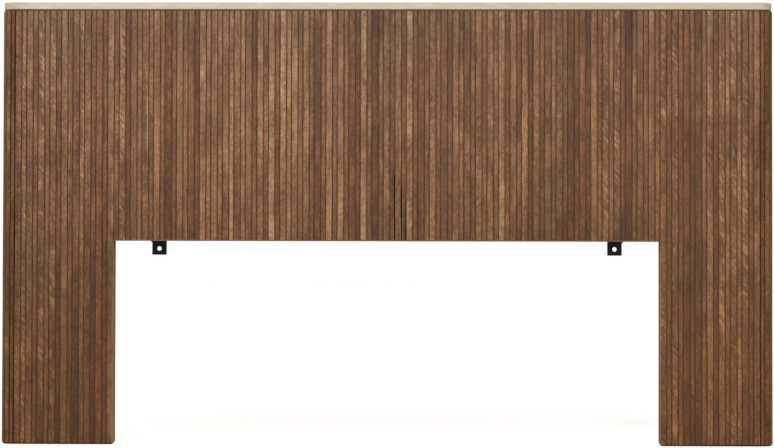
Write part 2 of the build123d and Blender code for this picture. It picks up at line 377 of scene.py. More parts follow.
# Where the left of the panel is paler: pairs of metres between which it starts and ends.
PALE_FROM, PALE_TO, PALE_UP = (-0.93, -0.8), (-0.3, -0.1), (0.6, 0.85)


def board_colour(f):
    """Level is tone + swing * (figure - a half) for each figure, and picks the timber tone.

    Dark heart is at level 0 and straw at level 1.
    """
    level = f.tone
    for figure, swing in ((f.patches, 0.9), (f.clouds, 0.74), (f.streaks, 0.5), (f.pores, 0.35),
                          (f.flecks, 0.64), (f.fine, 0.95)):
        level = level + (figure - 0.5) * swing
    level = level + f.rippled * RIPPLE_RISE - f.ripple * RIPPLE_GROUND + f.arris * ARRIS_HIGHLIGHT
    pale = f.x.between(PALE_FROM, PALE_TO) * f.z.within(*PALE_UP)
    colour = f.ramp(level + pale * LEFT_RISE, *TIMBER_TONES)
    reddish = (f.red + (f.patches - 0.5) * 0.7 + (f.clouds - 0.5) * 0.7).within(0.4, 1.0)
    colour = f.mix(reddish, colour, RUSSET, "MULTIPLY")
    cool = (0.5 - f.red + (f.clouds - 0.5) * 1.1).within(0.0, 0.7)
    colour = f.mix(cool * 0.7, colour, MAUVE, "MULTIPLY")
    golden = (f.streaks + f.flecks + f.tone * 0.5).within(1.22, 1.5)
    return f.mix(golden * 0.6, colour, OCHRE, "MULTIPLY")


def with_marks(f, colour):
    """The colour with a ragged strip of sapwood along one edge, spots of dust and knots."""
    worn_away = f.noise(f.line, f.line, f.along * 7).within(0.46, 0.6)
    edge_strip = (f.share - 0.5) * f.sap + (f.patches - 0.5) * 0.7 + (f.flecks - 0.5) * 0.4
    colour = f.mix(edge_strip.within(0.14, 0.44) * worn_away * 0.6, colour, SAPWOOD)
    spots = f.figure(120, 34, shift=9.2, detail=1.0).within(0.66, 0.78)
    colour = f.mix(spots * (0.25 + f.ripple + f.tone.within(0.5, 0.64)) * 0.4, colour, DUST)
    dots = f.noise(f.line, f.line, f.along * 60, detail=0.0).within(0.56, 0.62)
    return f.mix(f.knot * f.share.within(0.6, 0.85) * dots * 0.8, colour, DARK_HEART)


print("a full ripple lifts the level by", RIPPLE_RISE, "and lowers the ground by", RIPPLE_GROUND)

# %% [markdown]
# The slats are tinted by place. Painted shade makes them a little darker just under the
# cap, and darker and browner down the legs, the left leg most. A dark band crosses the
# right leg. Round the outer corners the slats are tinted warmer, and darker higher up, and
# painted shade darkens the rims of the slats and the walls of the grooves. Most of it
# depends on the place and not on the board, so it is laid over the timber as tints.

# %% Painted shade and tints by place
# The painted shade of the slats from the floor up, at heights in metres.
HEIGHT_SHADE_TINTS = (
    (0.06, paint(235, 221, 196)), (0.27, paint(242, 231, 208)), (0.44, paint(228, 221, 207)),
    (0.62, paint(246, 241, 232)), (0.80, paint(255, 254, 249)), (1.00, paint(254, 254, 253)),
    (1.12, paint(234, 234, 237)), (1.16, paint(248, 250, 252)),
)
HEIGHT_SCALE = 0.8  # a ramp runs from 0 to 1, and the slats are taller than a metre
# The first tint darkens the lower part of the left leg as painted shade.
LEFT_SHADE_TINT, BAND_TINT = paint(227, 220, 212), paint(233, 226, 223)
CORNER_TINT, CORNER_LOW_TINT = paint(240, 232, 204), paint(255, 250, 224)
# Where each begins and ends, as pairs of metres between which it does.
LEFT_FROM, LEFT_TO, LEFT_UP = (-0.98, -0.86), (-0.72, -0.7), (0.35, 0.7)
BAND_FROM, BAND_LOW, BAND_HIGH = (0.72, 0.76), (0.73, 0.8), (0.86, 0.9)
CORNER_UP = (0.4, 0.8)
CORNER_X = half_width - corner_radius


def stain_and_shade_by_place(f, colour):
    """The colour times the tints and painted shade of its place, then painted shade on rims and
    corner walls, and the sawn walls' own colour.
    """
    tint = f.ramp(f.z * HEIGHT_SCALE, *[(height * HEIGHT_SCALE, t) for height, t in HEIGHT_SHADE_TINTS])
    colour = f.mix(1.0, colour, tint, "MULTIPLY")
    left = (1 - f.z.within(*LEFT_UP)) * f.x.between(LEFT_FROM, LEFT_TO)
    colour = f.mix(left, colour, LEFT_SHADE_TINT, "MULTIPLY")
    band = f.x.within(*BAND_FROM) * f.z.between(BAND_LOW, BAND_HIGH)
    colour = f.mix(band, colour, BAND_TINT, "MULTIPLY")
    corner_tint = f.mix(f.z.within(*CORNER_UP), CORNER_LOW_TINT, CORNER_TINT)
    colour = f.mix(f.round_part, colour, corner_tint, "MULTIPLY")
    # Painted shade on the rims of the corner staves and on the walls of their grooves.
    rims = f.round_part * (1 - f.share.between((0.04, 0.24), (0.76, 0.96)))
    right_side = f.x.within(0.0, 1.0)
    colour = f.mix(rims * (0.65 - right_side * 0.4), colour, CORNER_SHADE)
    colour = f.mix(f.wall.within(0.0, 1.0) * 0.65, colour, GROOVE_WALL)
    return f.mix(f.wall.within(1.0, 2.0) * (0.9 - right_side * 0.25), colour, CORNER_SHADE)


print(f"height tints go up to {HEIGHT_SHADE_TINTS[-1][0]} m, round corners start at {CORNER_X:.3f} m")

# %% The finishes of the slats and of their sawn ends


def slat_timber(name, end_grain=False):
    """Oiled timber: board colour, marks, stain and painted shade. End grain is darker and ringed."""
    f = SlatTimber(name)
    f.round_part = f.x.maths("ABSOLUTE", f.x).within(CORNER_X - 2 * MM, CORNER_X + 2 * MM)
    colour = stain_and_shade_by_place(f, with_marks(f, board_colour(f)))
    if end_grain:
        rings = f.figure(500, 400, detail=3.0)
        colour = f.mix(rings.within(0.35, 0.75), colour, DARK_HEART)
    height = f.pores * 0.5 + f.streaks * 0.35 + f.rippled * 0.4 + f.fine * 0.2
    rough = 0.5 + (f.pores - 0.5) * 0.25 + f.wall * 0.15 + f.round_part * 0.3
    return f.surface(colour, rough, sheen=0.32, height=height, deep=0.2 * MM)


slat_finish = slat_timber("slat_timber")
slat_end_finish = slat_timber("slat_end_grain", end_grain=True)

# %% [markdown]
# Where the slats go is worked out as a joiner would set them out: wide and narrow in
# turn, with the grooves of a run taking up what is left over. It follows from the
# frame's sizes, so no place of a slat is written down.

# %% Set out the slats


def lay_out(length, first, second, lead_share, tail_share, closes_alike):
    """Starts and widths of the slats along a run, and the groove that fits them."""
    single = first if closes_alike else 0
    spare_grooves = lead_share + tail_share - (0 if closes_alike else 1)
    pair = first + second + 2 * groove
    pairs = round((length - single - spare_grooves * groove) / pair)
    widths = np.array([first, second] * pairs + ([first] if closes_alike else []))
    fitted = (length - widths.sum()) / (len(widths) - 1 + lead_share + tail_share)
    starts = lead_share * fitted + np.cumsum(widths) - widths + np.arange(len(widths)) * fitted
    return starts, widths, fitted


centre_starts, centre_widths, centre_groove = lay_out(2 * leg_inner_x, narrow, wide, 1, 1, True)
leg_flat = half_width - leg_inner_x - corner_radius
leg_starts, leg_widths, leg_groove = lay_out(leg_flat, wide, narrow, 0, 0.5, True)
corner_length = math.pi / 2 * corner_radius
stave_starts, stave_widths, stave_groove = lay_out(corner_length, narrow, wide, 0.5, 0.5, False)
for run, starts, fitted in (("the middle", centre_starts, centre_groove),
                            ("a leg", leg_starts, leg_groove),
                            ("a corner", stave_starts, stave_groove)):
    print(f"{len(starts)} slats over {run}, {fitted / MM:.2f} mm apart")

# %% Number every slat from left to right
SIDE, STAVES, LEG = 1, len(stave_starts), len(leg_starts)
first_leg = SIDE + STAVES
first_centre = first_leg + LEG
first_right = first_centre + len(centre_starts)
slat_count = first_right + LEG + STAVES + SIDE
print("slats in all:", slat_count)

# %% [markdown]
# The real slats differ one by one, and that makes the headboard. So most are chosen by
# kind: straw, tan, middling, dull, dark and darkest ones, russet and cool ones, one very
# red one on the left, and rippled ones towards both ends. The lists hold slat numbers,
# counted from the left. About a third are on no list of tones and take theirs by chance,
# from a seeded draw, so every run gives the same headboard.

# %% Draw a board for every slat
draw = np.random.default_rng(29)
tones = np.clip(draw.normal(0.44, 0.06, slat_count), 0.28, 0.6)
reds = np.clip(draw.normal(0.44, 0.2, slat_count), 0.0, 1.0)
ripples = np.clip(draw.normal(0.12, 0.16, slat_count), 0.0, 0.5)
lines = draw.uniform(0, 400, slat_count)
sinks = draw.uniform(0.02, 0.3, slat_count) * MM
bows = draw.uniform(0, 0.2, slat_count) * MM
sways = draw.uniform(0.1, 0.35, slat_count) * MM
slants = draw.uniform(-1, 1, slat_count)
saps, knots = np.zeros(slat_count), np.zeros(slat_count)
print(f"drawn tones run from {tones.min():.2f} to {tones.max():.2f}")

# %% The slats that stand out
STRAW_SLATS = (42, 44, 49, 51, 52, 59, 65, 73, 89, 125, 130)
TAN_SLATS = (6, 13, 16, 21, 26, 29, 37, 38, 40, 53, 54, 61, 77, 81, 85, 93, 95, 105, 107, 116,
             127, 128, 133, 135, 136)
MIDDLING_SLATS = (2, 10, 11, 28, 47, 55, 74, 86, 88, 91, 115, 118, 119, 120, 129, 131, 132)
DULL_SLATS = (4, 5, 8, 15, 22, 27, 35, 46, 50, 56, 66, 68, 70, 72, 75, 78, 80, 90, 92, 100, 103,
              106, 121, 122, 126)
DARK_SLATS = (18, 20, 24, 36, 57, 83, 94, 96, 99, 104, 110, 123)
DARKEST_SLATS = (31, 64, 67, 101, 111)
RUSSET_SLATS = (19, 24, 35, 36, 63, 67, 72, 74, 75, 86, 90, 92, 94, 101, 102, 103, 104, 106, 111,
                114, 120, 121, 126)
COOL_SLATS = (8, 10, 11, 16, 17, 20, 26, 32, 40, 42, 44, 45, 48, 49, 51, 52, 56, 59, 61, 65, 66,
              69, 71, 73, 76, 89, 98, 100)
WARM_SLATS = (3, 135)
REDDEST_SLAT = 19
RIPPLED_SLATS = (3, 6, 9, 11, 16, 23, 107, 109, 117, 119, 125, 127, 129, 131)
LEFT_SAP_SLATS = (14, 73, 105)
RIGHT_SAP_SLATS = (16, 21, 27, 34, 71)
KNOTTY_SLAT = 69
TONE_KINDS = ((0.66, STRAW_SLATS), (0.54, TAN_SLATS), (0.48, MIDDLING_SLATS),
              (0.35, DULL_SLATS), (0.26, DARK_SLATS), (0.19, DARKEST_SLATS))
RED_KINDS = ((0.74, RUSSET_SLATS), (0.25, COOL_SLATS), (0.47, WARM_SLATS))
chosen = sum(len(numbers) for tone, numbers in TONE_KINDS)
print(chosen, "slats have a chosen tone, and", slat_count - chosen, "have theirs by chance")

# %% Give the chosen slats their boards
RIPPLE_SHARE, RIPPLE_SLANT = 0.9, 1.4
# Narrow slats are painted darker and wide ones a little paler, as painted shade from the grooves
# either side.
NARROW_SHIFT, WIDE_SHIFT = -0.03, 0.01  # narrow slats look darker between their grooves
for tone, numbers in TONE_KINDS:
    tones[list(numbers)] = tone
for red, numbers in RED_KINDS:
    reds[list(numbers)] = red
reds[REDDEST_SLAT] = 1
half_widths = np.r_[leg_widths, stave_widths, wide]
all_widths = np.r_[half_widths[::-1], centre_widths, half_widths]
tones += np.where(all_widths < wide, NARROW_SHIFT, WIDE_SHIFT)
saps[list(LEFT_SAP_SLATS)] = -1
saps[list(RIGHT_SAP_SLATS)] = 1
knots[KNOTTY_SLAT] = 1
for number in RIPPLED_SLATS:
    ripples[number] = RIPPLE_SHARE
    slants[number] = -RIPPLE_SLANT if number < first_centre else RIPPLE_SLANT
print(f"darkest tone {tones.min():.2f}, palest {tones.max():.2f}")

# %% [markdown]
# A slat is a closed profile carried up the headboard. Its front arrises are eased with a
# small round, its face lies a hair behind the drawn face, and it bows and sways a little
# along its length, as sawn timber does. A group of slats is worked out in one array.

# %% The profile of a slat
ARRIS = 0.8 * MM
LEG_EDGE = 3 * MM
ARC_POINTS = 4
LEVELS = 11
BOW_TURN, SWAY_TURN = 3 * math.pi, 5 * math.pi  # the waves of a bow and a sway over the length


def slat_profile(widths, low_arris, high_arris, depth):
    """Closed profiles, one row a slat, as (across, depth) and (arris, wall) values.

    Each arris is a quarter circle: across = a - a cos t and depth = a - a sin t, with t
    from 0 on the wall to a quarter turn on the face. Then come the two back corners.
    """
    turn = np.linspace(0, math.pi / 2, ARC_POINTS)
    low, high, width = low_arris[:, None], high_arris[:, None], widths[:, None]
    middle = width / 2
    across = np.hstack([low - low * np.cos(turn), middle, width - high + high * np.sin(turn),
                        width, width * 0])
    sunk = np.hstack([low - low * np.sin(turn), middle * 0, high - high * np.cos(turn),
                      depth + width * 0, depth + width * 0])
    arris = np.r_[np.sin(2 * turn), 0, np.sin(2 * turn), 0, 0]
    wall = np.r_[1, np.zeros(2 * ARC_POINTS - 1), 1, 1, 1]
    return across, sunk, arris, wall


print("a slat's profile has", 2 * ARC_POINTS + 3, "points, carried up in", LEVELS, "levels")

# %% The values that the timber reads
BOARD_ASIDE, BOARD_ALONG = 0.31, 0.77  # metres from one slat's board to the next


def slat_values(numbers, across, z, share, arris, wall):
    """For every corner, its place in the board, the slat's own numbers, and its edge."""
    full = np.ones(across.shape)
    number = np.array(numbers)[:, None, None]
    grain = (across + number * BOARD_ASIDE, full * lines[number],
             full * z[None, :, None] + number * BOARD_ALONG)
    board = (full * tones[number], full * reds[number], full * ripples[number])
    edge = (full * arris, full * wall, share)
    marks = (full * saps[number], full * knots[number], full * slants[number])
    named = {"grain": grain, "board": board, "edge": edge, "marks": marks}
    return {name: np.stack(columns, axis=-1) for name, columns in named.items()}


print("every corner of a slat carries 4 values of 3 numbers")

# %% Carry slats upwards


def carry_slats(name, numbers, widths, low_z, place, low_arris=None, mirrored=False, shaded_walls=False):
    """Slats in one mesh. place turns (slat, across, depth) arrays into X and Y arrays.

    A slat's face lies back by its sink and by its bow times a wave of its height, and it
    moves aside by its sway times another. Its back stays where it is.
    """
    slats = len(numbers)
    arrises = np.full(slats, ARRIS)
    low_arris = arrises if low_arris is None else low_arris
    across, sunk, arris, wall = slat_profile(widths, low_arris, arrises, slat_thick)
    points = across.shape[1]
    z = np.linspace(low_z, slat_top_z, LEVELS)
    swell = np.sin(np.linspace(0, BOW_TURN, LEVELS) + lines[numbers][:, None]) * 0.5 + 0.5
    sink = sinks[numbers][:, None] + bows[numbers][:, None] * swell
    front = 1 - sunk / slat_thick
    depth = sunk[:, None, :] + sink[:, :, None] * front[:, None, :]
    wide_across = np.broadcast_to(across[:, None, :], depth.shape)
    sway = np.sin(np.linspace(0, SWAY_TURN, LEVELS) + 2 * lines[numbers][:, None])
    aside = sways[numbers][:, None] * sway * (low_arris == ARRIS)[:, None]
    x, y = place(np.arange(slats)[:, None, None], wide_across + aside[:, :, None], depth)
    if mirrored:
        x = -x
    corners = np.stack([x, y, np.broadcast_to(z[None, :, None], x.shape)], axis=-1)

    faces = tube_faces(slats, points, LEVELS, mirrored)
    finish = ([0] * (points * (LEVELS - 1)) + [1, 1]) * slats
    share = wide_across / widths[:, None, None]
    share = 1 - share if mirrored else share
    values = slat_values(numbers, wide_across, z, share, arris, wall * (2 if shaded_walls else 1))
    piece = make_piece(name, corners, faces, [slat_finish, slat_end_finish], values, finish)
    soften(piece, 50)
    return piece


# %% Three ways to place a slat
staves_centre = (half_width - corner_radius, face_y + corner_radius)
half_gap = stave_groove / 2


def on_the_flat(starts):
    """Across runs along X from the slat's start, and depth runs back from the face."""
    return lambda slat, across, depth: (starts[slat] + across, face_y + depth)


def round_the_corner(starts, widths):
    """Across is a share of the stave's turn at that depth, so its walls stay parallel.

    A wall stands half a groove from the groove's middle line, which is asin(half groove /
    radius) away as seen from the centre of the corner.
    """

    def place(slat, across, depth):
        radius = corner_radius - depth
        spare = np.arcsin(half_gap / radius)
        first = (starts[slat] - half_gap) / corner_radius + spare
        last = (starts[slat] + widths[slat] + half_gap) / corner_radius - spare
        turn = first + (last - first) * across / widths[slat]
        return (staves_centre[0] + radius * np.sin(turn), staves_centre[1] - radius * np.cos(turn))

    return place


def on_the_side(slat, across, depth):
    """Across runs back from the corner, and depth runs inwards from the side."""
    return half_width - depth, side_low_y + across


print(f"a corner turns about X {staves_centre[0]:.3f} m, Y {staves_centre[1]:.4f} m")

# %% Carry up all the slats


def groups(count, parts):
    """The numbers from 0 to count, split into runs of neighbours."""
    cuts = [count * part // parts for part in range(parts + 1)]
    return [np.arange(low, high) for low, high in zip(cuts, cuts[1:])]


def numbered(rows, first, mirrored):
    """Slat numbers run from left to right, so those on the left count down outwards."""
    counted = first + rows
    return slat_count - 1 - counted if mirrored else counted


for order, rows in enumerate(groups(len(centre_starts), 12), 1):
    piece = carry_slats(f"panel_slats_{order:02d}", first_centre + rows, centre_widths[rows],
                        centre_base_z, on_the_flat(centre_starts[rows] - leg_inner_x))
    settle(piece, "slat_timber", f"centre_slats_{order:02d}")

for side, mirrored in (("right", False), ("left", True)):
    for order, rows in enumerate(groups(LEG, 3), 1):
        edges = np.where(rows == 0, LEG_EDGE, ARRIS)
        piece = carry_slats(f"{side}_leg_staves_{order}", numbered(rows, first_right, mirrored),
                            leg_widths[rows], leg_base_z,
                            on_the_flat(leg_inner_x + leg_starts[rows]), edges, mirrored)
        settle(piece, "slat_timber", f"{side}_leg_slats_{order}")
    numbers = numbered(np.arange(STAVES), first_right + LEG, mirrored)
    # The corner staves' sawn walls take painted shade.
    piece = carry_slats(f"{side}_corner_staves", numbers, stave_widths, leg_base_z,
                        round_the_corner(stave_starts, stave_widths), None, mirrored, True)
    settle(piece, "slat_timber", f"{side}_corner_slats")
    numbers = numbered(np.arange(SIDE), first_right + LEG + STAVES, mirrored)
    piece = carry_slats(f"{side}_side_stave", numbers, np.array([side_high_y - side_low_y]),
                        leg_base_z, on_the_side, None, mirrored)
    settle(piece, "slat_timber", f"{side}_side_slat")

# %% [markdown]
# Every other board is a flat outline with its edges eased all round. An outline can be
# drawn in by a distance, so a board is a stack of copies of its outline: drawn in at the
# bottom, full size between, and drawn in again at the top, along a quarter circle.

# %% Outlines and boards
EASE_POINTS = 4


def drawn_in(outline, distance):
    """A closed outline moved inwards. Each corner slides along the mitre of its two edges."""
    ahead = np.roll(outline, -1, axis=0) - outline
    ahead /= np.linalg.norm(ahead, axis=1, keepdims=True)
    inward = np.stack([-ahead[:, 1], ahead[:, 0]], axis=1)
    before = np.roll(inward, 1, axis=0)
    mitre = (inward + before) / (1 + (inward * before).sum(1, keepdims=True))
    return outline + distance * mitre


def rounded_plan(x0, x1, y0, y1, radii, arc=12):
    """A rectangle with its corners rounded, anticlockwise from the front left one.

    Corner k is centre + radius * (cos t, sin t), with t over the quarter turn k.
    """
    across = np.array([x0, x1, x1, x0])
    back = np.array([y0, y0, y1, y1])
    signs = np.array([[1, 1], [-1, 1], [-1, -1], [1, -1]])
    corners = []
    for k, radius in enumerate(radii):
        turn = math.pi + (k + np.linspace(0, 1, arc)) * math.pi / 2
        centre = np.array([across[k], back[k]]) + signs[k] * radius
        corners.append(centre + radius * np.stack([np.cos(turn), np.sin(turn)], axis=1))
    return np.concatenate(corners)


def carry_board(name, outline, low, high, ease, finish, upright=True):
    """A board from low to high, with both rims eased by a quarter circle.

    An upright board has its outline in plan and rises along Z. Otherwise the outline is
    drawn on the face, in X and Z, and low and high are places along Y.
    """
    turn = np.linspace(0, math.pi / 2, EASE_POINTS)
    inset = ease - ease * np.sin(turn)
    rise = ease - ease * np.cos(turn)
    steps = [(d, low + h) for d, h in zip(inset, rise)]
    steps += [(d, high - h) for d, h in zip(inset[::-1], rise[::-1])]
    corners = np.array([np.column_stack([drawn_in(outline, d), np.full(len(outline), h)])
                        for d, h in steps])
    if not upright:
        corners = corners[..., [0, 2, 1]]
    faces = tube_faces(1, len(outline), len(steps), not upright)
    piece = make_piece(name, corners, faces, [finish])
    soften(piece)
    return piece


def round_radius(node):
    """The radius of a node's round corners, which share their centre with the slats' own."""
    return corner_radius - (half_width - max(abs(x) for x in span(node, 0)))


def lay_board(name, node, slot_name, radii, ease, finish, arc=12):
    """A board in the place of a node, with the corners of its plan rounded by radii."""
    plan = rounded_plan(*span(node, 0), *span(node, 1), radii, arc)
    settle(carry_board(name, plan, *span(node, 2), ease, finish), slot_name, node)


print("a board has", 2 * EASE_POINTS, "outlines, one on another")

# %% [markdown]
# The cap is pale oak, washed so that the grain only just shows: fine lines along its
# length, and a cloudy wash lying over them. It is a little warmer towards the right. A
# painted highlight makes it paler towards its lower edge, and painted shade darkens its
# ends, the left one most, and a little along most of its length. Its front corners follow
# the round corners of the slats, so its grain runs straight past them.

# %% Washed oak for the cap
OAK_WASH = paint(207, 193, 174)
OAK_GRAIN = paint(188, 169, 141)
OAK_DEEP = paint(168, 146, 114)
OAK_CLOUD = paint(228, 219, 204)
OAK_WARM = paint(236, 216, 184)
OAK_END_SHADE = paint(237, 229, 214)
OAK_MIDDLE_SHADE = paint(252, 250, 245)
# Where the cap's tone and painted shade change: pairs of metres along X between which they do.
WARM_FROM, MIDDLE_FROM, MIDDLE_TO = (0.2, 0.95), (-0.85, -0.5), (0.9, 0.98)
LEFT_END, RIGHT_END = (-1.02, -0.95), (0.97, 1.03)
cap_low_z, cap_high_z = span("top_cap", 2)


def washed_oak():
    """Grain and bands stretched along X, wash in clouds over them, warmth, painted shade and a
    painted highlight.
    """
    f = Finish("washed_oak")
    x, y, z = f.place()
    grain = f.noise(x * 7, y * 330, z * 330, detail=4.0, roughness=0.6)
    pores = f.noise(x * 60, y * 1500, z * 1500)
    bands = f.noise(x * 2.4, y * 60, z * 60)
    wash = f.noise(x * 16, y * 50, z * 130, detail=3.0, roughness=0.6)
    colour = f.mix(grain.within(0.45, 0.75) * 0.3, OAK_WASH, OAK_GRAIN)
    colour = f.mix(bands.within(0.5, 0.8) * 0.16, colour, OAK_GRAIN)
    colour = f.mix(pores.within(0.6, 0.8) * 0.25, colour, OAK_DEEP)
    colour = f.mix(wash.within(0.46, 0.66) * 0.5, colour, OAK_CLOUD)
    # A painted highlight makes the cap paler towards its lower edge.
    lower = 1 - z.within(cap_low_z + 3 * MM, cap_high_z - 3 * MM)
    colour = f.mix(lower * 0.2, colour, OAK_CLOUD)
    colour = f.mix(x.within(*WARM_FROM) * 0.28, colour, OAK_WARM)
    # Painted shade over most of the cap's length, and more at its ends.
    colour = f.mix(x.between(MIDDLE_FROM, MIDDLE_TO), colour, OAK_MIDDLE_SHADE, "MULTIPLY")
    ends = 1 - x.within(*LEFT_END) + x.within(*RIGHT_END) * 0.3
    colour = f.mix(ends, colour, OAK_END_SHADE, "MULTIPLY")
    height = grain * 0.6 + pores * 0.4
    return f.surface(colour, 0.62 - wash * 0.12, sheen=0.3, height=height, deep=0.12 * MM)


cap_finish = washed_oak()

# %% Make the cap
CAP_EASE, SQUARE = 1.5 * MM, 2 * MM
cap_radius = round_radius("top_cap")
lay_board("cap", "top_cap", "cap_timber", (cap_radius, cap_radius, SQUARE, SQUARE), CAP_EASE,
          cap_finish)
print(f"cap {cap_high_z - cap_low_z:.3f} m thick, corners of {cap_radius / MM:.0f} mm")

# %% [markdown]
# The lipping under the panel and the facings on the inner sides of the legs are plain
# boards of the slats' timber. They are seen as thin strips, so their grain runs along
# the strip: along X on the lipping and along Z on the facings.

# %% The timber of the boards


def board_timber(name, run, pale, deep, streak=0.55, sheen=0.3, rough=0.55):
    """Plain-sawn timber: figure, streaks and pores, stretched along run, 0 for X or 2 for Z."""
    f = Finish(name)
    place = f.place()
    stretch = [70, 70, 70]
    stretch[run] = 2.2
    figure = f.noise(*[p * s for p, s in zip(place, stretch)], detail=3.0, roughness=0.55)
    streaks = f.noise(*[p * s * 7 for p, s in zip(place, stretch)], detail=3.0, roughness=0.6)
    pores = f.noise(*[p * (900 if axis != run else 40) for axis, p in enumerate(place)])
    level = figure * (1 - streak) + streaks * streak
    colour = f.ramp(level, (0.3, deep), (0.5, middle(deep, pale)), (0.72, pale))
    colour = f.mix(pores.within(0.58, 0.75) * 0.35, colour, deep)
    height = streaks * 0.6 + pores * 0.4
    return f.surface(colour, rough + (streaks - 0.5) * 0.2, sheen, height, deep=0.15 * MM)


def middle(first, second):
    """The colour half way between two."""
    return tuple((a + b) / 2 for a, b in zip(first, second))


lipping_finish = board_timber("lipping_timber", 0, paint(142, 108, 78), paint(96, 68, 48))
facing_finish = board_timber("facing_timber", 2, paint(156, 120, 84), paint(112, 82, 56),
                             sheen=0.04, rough=0.85)

# %% Lipping and facings
LIPPING_EASE = 0.5 * MM
for node, finish in (("underside_lipping", lipping_finish), ("right_leg_facing", facing_finish),
                     ("left_leg_facing", facing_finish)):
    lay_board(f"{node}_board", node, "lipping_timber", (LIPPING_EASE,) * 4, LIPPING_EASE, finish,
              arc=3)

# %% [markdown]
# The boards behind the slats are stained brown, and shade makes the grooves read as dark
# lines. In three grooves the backing is painted black, as painted shade in those gaps. The
# spacer in the shadow gap under the cap is stained a darker brown, partly as painted shade
# in the gap. The brown stain is thin, so the grain still shows.

# %% Stained boards, with painted shade in three grooves
STAIN, STAIN_DEEP = paint(166, 130, 90), paint(130, 101, 69)
SHADE_BLACK = paint(42, 31, 23)
# The grooves with painted black shade: the slat on the right, and how high it reaches.
BLACK_GROOVES = ((71, 0.724), (72, 0.694), (73, 0.66))
RAGGED = 30 * MM


def stained_backing_and_shade():
    """Stained board, with painted black shade where X is within a black groove and Z below its
    ragged height.
    """
    f = Finish("stain_and_painted_shade")
    x, y, z = f.place()
    figure = f.noise(x * 90, y * 90, z * 6, detail=3.0)
    fine = f.noise(x * 600, y * 600, z * 25)
    ragged = (f.noise(x * 40, y, z * 30) - 0.5) * RAGGED
    colour = f.mix((figure * 0.6 + fine * 0.4).within(0.35, 0.65), STAIN_DEEP, STAIN)
    # Painted black shade in each of those grooves.
    for number, height in BLACK_GROOVES:
        high_x = centre_starts[number - first_centre] - leg_inner_x
        low_x = high_x - centre_groove
        inside = x.between((low_x - MM, low_x), (high_x, high_x + MM))
        black = inside * (1 - (z + ragged).within(height - 10 * MM, height + 10 * MM))
        colour = f.mix(black, colour, SHADE_BLACK)
    return f.surface(colour, 0.8 + (fine - 0.5) * 0.2, sheen=0.12, height=fine, deep=0.1 * MM)


stain_and_shade_finish = stained_backing_and_shade()
for node in ("left_leg_backing", "right_leg_backing", "centre_backing"):
    refinish(node, stain_and_shade_finish)
print("grooves with black stain:", len(BLACK_GROOVES))

# %% The spacer in the shadow gap
# The spacer's dark stain is partly painted shade for the shadow gap.
spacer_finish = board_timber("spacer_stain_and_shade", 0, paint(106, 82, 63), paint(60, 44, 32), rough=0.8,
                             sheen=0.15)
SPACER_EASE = 0.3 * MM
lay_board("shadow_gap_spacer", "gap_spacer", "dark_spacer",
          (round_radius("gap_spacer"),) * 2 + (SPACER_EASE,) * 2, SPACER_EASE, spacer_finish)

# %% [markdown]
# The feet stand on black plastic plates. The plastic has a fine moulded texture, scuffs
# near the floor and a low sheen. A plate is a board with one round corner, under the
# round corner of its leg.

# %% Black plastic base plates
FOOT_BLACK = paint(22, 21, 20)
FOOT_SCUFF = paint(58, 55, 52)


def moulded_black():
    """Fine even noise for the texture, and flat scuffs that fade out at 3 mm from the floor."""
    f = Finish("moulded_black")
    x, y, z = f.place()
    texture = f.noise(x, y, z, scale=1400.0)
    scuffs = f.noise(x * 40, y * 40, z * 500, detail=3.0)
    low = 1 - (z + scuffs * 2 * MM).within(0.8 * MM, 3 * MM)
    colour = f.mix(low * scuffs.within(0.5, 0.7) * 0.6, FOOT_BLACK, FOOT_SCUFF)
    return f.surface(colour, 0.6 + scuffs * 0.2, sheen=0.35, height=texture, deep=0.1 * MM)


foot_finish = moulded_black()
BASE_EASE = 0.8 * MM
for side, order in (("right", 1), ("left", -1)):
    node = f"{side}_base_plate"
    radii = (BASE_EASE, round_radius(node))[::order]
    lay_board(f"{side}_foot_plate", node, "black_base", (*radii, BASE_EASE, BASE_EASE), BASE_EASE,
              foot_finish)

# %% [markdown]
# The brackets are laser-cut steel with a matt black powder coat. Powder melts into a
# fine orange peel, which catches the light, and a little dust lies on it. Fitting rubs
# the coat thin round the bolt hole, but the steel doesn't show. The frame's own brackets
# already have the right shape, so they only get a new finish.

# %% Black powder coat
COAT_BLACK = paint(10, 10, 10)
COAT_RUB = paint(30, 29, 28)
TAB_HALF, HOLE_RISE, HOLE_RADIUS = 19.5 * MM, 17 * MM, 6 * MM
hole_x = span("right_bracket", 0)[0] + TAB_HALF
hole_z = span("right_bracket", 2)[0] + HOLE_RISE


def powder_coat():
    """Black with dust, rubbed where the distance to a hole's middle is little over its radius."""
    f = Finish("powder_coat")
    x, y, z = f.place()
    peel = f.noise(x, y, z, scale=900.0)
    dust = f.noise(x, y, z, detail=4.0, scale=90.0, roughness=0.65)
    aside = x.maths("ABSOLUTE", x) - hole_x
    away = (aside * aside + (z - hole_z) * (z - hole_z)) ** 0.5
    rub = 1 - (away + dust * 4 * MM).within(HOLE_RADIUS, HOLE_RADIUS + 5 * MM)
    colour = f.mix(rub * 0.5 + dust.within(0.55, 0.8) * 0.25, COAT_BLACK, COAT_RUB)
    rough = 0.6 + dust * 0.2 - rub * 0.15
    return f.surface(colour, rough, sheen=0.25, height=peel, deep=0.12 * MM, strength=0.6)


coat_finish = powder_coat()
for side in ("left", "right"):
    refinish(f"{side}_bracket", coat_finish)
print(f"brackets coated, bolt holes {2 * hole_x:.3f} m apart")

# %% [markdown]
# A screw head is a profile turned round its axis. The cross recess is pressed in: where
# a point of the head lies within half a slot's width of either arm, it is pushed down,
# with a slope at the recess's walls.

# %% A screw head as a surface
HEAD_TURNS = 40
RECESS_SLOPE = 4  # how steep the walls of a recess are
# Towards the end of an arm a recess loses a share of its depth, but it keeps a least share.
RECESS_LOSS, RECESS_LEAST = 0.35, 0.3


